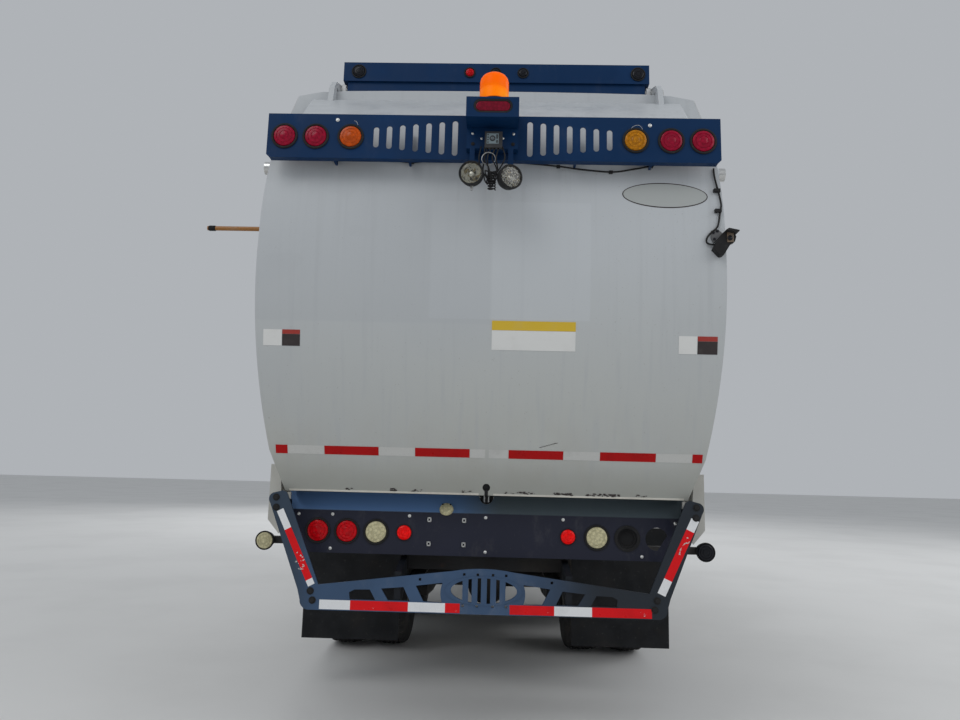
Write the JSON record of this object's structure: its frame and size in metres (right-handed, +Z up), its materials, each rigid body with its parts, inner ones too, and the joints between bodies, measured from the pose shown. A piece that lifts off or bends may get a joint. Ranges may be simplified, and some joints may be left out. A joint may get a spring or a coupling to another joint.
{
  "type": "automated side loading garbage truck",
  "caption": "Full-eject side loading refuse truck with a barrel section body, curved top-hinged tailgate, sliding arm with gripper and a low tilting cab.",
  "frame": {"origin": "on the ground below the middle of the truck's bounding box", "axes": "+Y towards the cab, +X towards the truck's right side, +Z up"},
  "size_m": [3.045, 9.905, 3.801],
  "materials": {
    "body_white": "weathered gloss paint",
    "charcoal": "satin paint",
    "chassis_black": "dusty satin paint",
    "cab_white": "gloss paint",
    "wheel_paint": "gloss paint",
    "engine_grey": "cast",
    "tank_metal": "brushed",
    "bright_steel": "polished",
    "flap_rubber": "matt",
    "tyre": "matt",
    "lens_red": "clear gloss",
    "lens_amber": "clear gloss",
    "lens_clear": "clear gloss",
    "dark_plastic": "matt",
    "rod_brown": "satin",
    "seat_vinyl": "grained vinyl",
    "cab_glass": "clear",
    "tape_red": "retroreflective sheeting",
    "tape_white": "retroreflective sheeting"
  },
  "bodies": {
    "chassis": {"chassis_frame": "chassis_black", "axles": "chassis_black", "suspension": "chassis_black", "engine_block": "engine_grey", "tanks": "tank_metal", "exhaust_stack": "bright_steel", "front_bumper": "chassis_black", "mudflaps": "flap_rubber", "load_body": "body_white", "hopper": "body_white", "roof_bar": "charcoal", "lamp_panel": "charcoal", "underride_guard": "charcoal", "body_lamps": "lens_red", "arm_guide": "chassis_black"},
    "packer": {"packer": "chassis_black"},
    "tailgate": {"tailgate": "body_white", "tailgate_light_bar": "charcoal", "tailgate_lamps": "lens_red", "camera_box": "charcoal", "work_lamps": "lens_clear", "beacon": "lens_amber", "edge_camera": "dark_plastic", "side_rod": "rod_brown"},
    "gate_cylinder_left": {"gate_cylinder_left": "body_white"},
    "gate_ram_left": {"gate_ram_left": "bright_steel"},
    "gate_cylinder_right": {"gate_cylinder_right": "body_white"},
    "gate_ram_right": {"gate_ram_right": "bright_steel"},
    "cab": {"cab_shell": "cab_white", "cab_glass": "cab_glass", "grille": "dark_plastic", "headlamps": "lens_clear", "seats": "seat_vinyl", "dash": "dark_plastic", "mirrors": "dark_plastic"},
    "door_left": {"door_left": "cab_white", "door_glass_left": "cab_glass"},
    "knuckle_left": {"knuckle_left": "chassis_black"},
    "wheel_front_left": {"wheel_front_left": "wheel_paint", "tyre_front_left": "tyre"},
    "wheel_mid_left": {"wheel_mid_left": "wheel_paint", "tyres_mid_left": "tyre"},
    "wheel_rear_left": {"wheel_rear_left": "wheel_paint", "tyres_rear_left": "tyre"},
    "door_right": {"door_right": "cab_white", "door_glass_right": "cab_glass"},
    "knuckle_right": {"knuckle_right": "chassis_black"},
    "wheel_front_right": {"wheel_front_right": "wheel_paint", "tyre_front_right": "tyre"},
    "wheel_mid_right": {"wheel_mid_right": "wheel_paint", "tyres_mid_right": "tyre"},
    "wheel_rear_right": {"wheel_rear_right": "wheel_paint", "tyres_rear_right": "tyre"},
    "reach_outer": {"reach_beam_outer": "chassis_black"},
    "reach_mast": {"reach_beam_mast": "chassis_black"},
    "lift_arm": {"lift_arm": "chassis_black"},
    "finger_front": {"finger_front": "chassis_black"},
    "finger_rear": {"finger_rear": "chassis_black"}
  },
  "joints": [
    {"name": "tailgate_lift", "type": "hinge", "parent": "chassis", "child": "tailgate", "pos_m": [0, -4.01, 3.635], "axis": [-1, 0, 0], "range_deg": [0, 80]},
    {"name": "gate_cylinder_swing_left", "type": "hinge", "parent": "chassis", "child": "gate_cylinder_left", "pos_m": [-1.256, -3.25, 3.25], "axis": [-1, 0, 0], "range_deg": [0, 36]},
    {"name": "gate_ram_slide_left", "type": "slide", "parent": "gate_cylinder_left", "child": "gate_ram_left", "axis": [0, -0.9728, -0.2316], "range_m": [0, 0.53]},
    {"name": "gate_cylinder_swing_right", "type": "hinge", "parent": "chassis", "child": "gate_cylinder_right", "pos_m": [1.256, -3.25, 3.25], "axis": [-1, 0, 0], "range_deg": [0, 36]},
    {"name": "gate_ram_slide_right", "type": "slide", "parent": "gate_cylinder_right", "child": "gate_ram_right", "axis": [0, -0.9728, -0.2316], "range_m": [0, 0.53]},
    {"name": "packer_slide", "type": "slide", "parent": "chassis", "child": "packer", "axis": [0, -1, 0], "range_m": [0, 6.3]},
    {"name": "cab_tilt", "type": "hinge", "parent": "chassis", "child": "cab", "pos_m": [0, 4.8, 0.7], "axis": [-1, 0, 0], "range_deg": [0, 45]},
    {"name": "door_swing_left", "type": "hinge", "parent": "cab", "child": "door_left", "pos_m": [-1.172, 4.764, 1.05], "axis": [0, 0, -1], "range_deg": [0, 70]},
    {"name": "door_swing_right", "type": "hinge", "parent": "cab", "child": "door_right", "pos_m": [1.172, 4.764, 1.05], "axis": [0, 0, 1], "range_deg": [0, 70]},
    {"name": "steer_left", "type": "hinge", "parent": "chassis", "child": "knuckle_left", "pos_m": [-0.9, 3.55, 0.525], "axis": [0, 0, 1], "range_deg": [-36, 36]},
    {"name": "spin_front_left", "type": "hinge", "parent": "knuckle_left", "child": "wheel_front_left", "pos_m": [-1.045, 3.55, 0.525], "axis": [1, 0, 0], "continuous": true},
    {"name": "spin_mid_left", "type": "hinge", "parent": "chassis", "child": "wheel_mid_left", "pos_m": [-0.909, -0.75, 0.525], "axis": [1, 0, 0], "continuous": true},
    {"name": "spin_rear_left", "type": "hinge", "parent": "chassis", "child": "wheel_rear_left", "pos_m": [-0.909, -2.1, 0.525], "axis": [1, 0, 0], "continuous": true},
    {"name": "steer_right", "type": "hinge", "parent": "chassis", "child": "knuckle_right", "pos_m": [0.9, 3.55, 0.525], "axis": [0, 0, 1], "range_deg": [-36, 36]},
    {"name": "spin_front_right", "type": "hinge", "parent": "knuckle_right", "child": "wheel_front_right", "pos_m": [1.045, 3.55, 0.525], "axis": [1, 0, 0], "continuous": true},
    {"name": "spin_mid_right", "type": "hinge", "parent": "chassis", "child": "wheel_mid_right", "pos_m": [0.909, -0.75, 0.525], "axis": [1, 0, 0], "continuous": true},
    {"name": "spin_rear_right", "type": "hinge", "parent": "chassis", "child": "wheel_rear_right", "pos_m": [0.909, -2.1, 0.525], "axis": [1, 0, 0], "continuous": true},
    {"name": "reach_outer_slide", "type": "slide", "parent": "chassis", "child": "reach_outer", "axis": [1, 0, 0], "range_m": [0, 0.8]},
    {"name": "reach_mast_slide", "type": "slide", "parent": "reach_outer", "child": "reach_mast", "axis": [1, 0, 0], "range_m": [0, 0.8]},
    {"name": "lift_swing", "type": "hinge", "parent": "reach_mast", "child": "lift_arm", "pos_m": [0.94, 2.84, 1.95], "axis": [0, -1, 0], "range_deg": [0, 155]},
    {"name": "grip_front", "type": "hinge", "parent": "lift_arm", "child": "finger_front", "pos_m": [1.154, 2.32, 0.86], "axis": [0, 0, -1], "range_deg": [0, 75]},
    {"name": "grip_rear", "type": "hinge", "parent": "lift_arm", "child": "finger_rear", "pos_m": [1.154, 1.98, 0.86], "axis": [0, 0, 1], "range_deg": [0, 75]}
  ],
  "couplings": [
    {"joint": "reach_mast_slide", "follows": "reach_outer_slide", "ratio": 1},
    {"joint": "grip_rear", "follows": "grip_front", "ratio": 1},
    {"joint": "steer_right", "follows": "steer_left", "ratio": 1},
    {"joint": "gate_cylinder_swing_left", "follows": "tailgate_lift", "ratio": 0.444},
    {"joint": "gate_ram_slide_left", "follows": "tailgate_lift", "m_per_rad": 0.379},
    {"joint": "gate_cylinder_swing_right", "follows": "tailgate_lift", "ratio": 0.444},
    {"joint": "gate_ram_slide_right", "follows": "tailgate_lift", "m_per_rad": 0.379}
  ]
}
